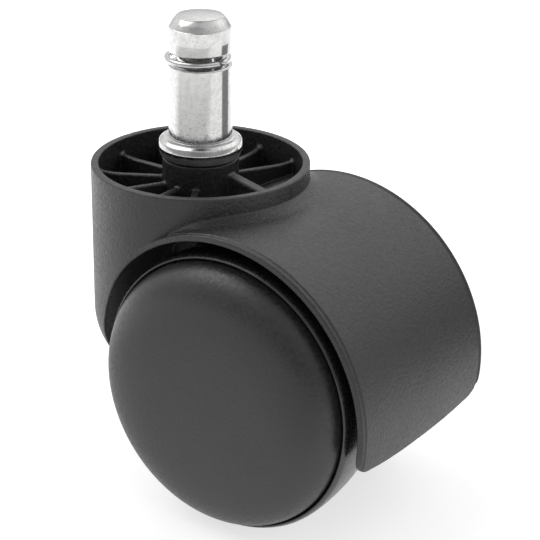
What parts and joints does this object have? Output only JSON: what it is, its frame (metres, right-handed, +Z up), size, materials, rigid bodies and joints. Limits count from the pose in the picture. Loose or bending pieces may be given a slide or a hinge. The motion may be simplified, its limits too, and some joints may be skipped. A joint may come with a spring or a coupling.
{
  "type": "chair caster",
  "caption": "Hooded twin-wheel swivel caster for an office chair, with a plated 11 mm grip-ring stem and domed wheel caps.",
  "frame": {"origin": "swivel axis, on top of the stem's flange, where the chair leg's end rests", "axes": "+Z up along the stem, +X back from the swivel axis to the wheel axle, Y along the wheel axle"},
  "size_m": [0.0658, 0.049, 0.0834],
  "materials": {
    "zinc_plate": "bright zinc plate, faintly mottled",
    "spring_steel": "plated spring wire, bright",
    "plain_steel": "plain drawn steel",
    "acetal": "natural acetal",
    "housing_nylon": "black nylon, fine moulded grain",
    "wheel_nylon": "black nylon, smooth satin tread",
    "cap_nylon": "black nylon, fine moulded grain"
  },
  "bodies": {
    "stem": {"stem": "zinc_plate", "grip_ring": "spring_steel", "stem_snap_ring": "spring_steel"},
    "housing": {"housing": "housing_nylon", "stem_bush": "acetal", "stem_thrust_washer": "plain_steel", "axle": "plain_steel", "axle_clip_left": "spring_steel", "axle_clip_right": "spring_steel", "spacer_washer_left": "plain_steel", "spacer_washer_right": "plain_steel"},
    "wheel_left": {"wheel_left": "wheel_nylon", "wheel_cap_left": "cap_nylon", "hub_bush_left": "acetal"},
    "wheel_right": {"wheel_right": "wheel_nylon", "wheel_cap_right": "cap_nylon", "hub_bush_right": "acetal"}
  },
  "joints": [
    {"name": "swivel", "type": "hinge", "parent": "stem", "child": "housing", "pos_m": [0, 0, 0], "axis": [0, 0, 1], "continuous": true},
    {"name": "wheel_left_spin", "type": "hinge", "parent": "housing", "child": "wheel_left", "pos_m": [0.0185, -0.0118, -0.0368], "axis": [0, 1, 0], "continuous": true},
    {"name": "wheel_right_spin", "type": "hinge", "parent": "housing", "child": "wheel_right", "pos_m": [0.0185, 0.0118, -0.0368], "axis": [0, 1, 0], "continuous": true}
  ]
}
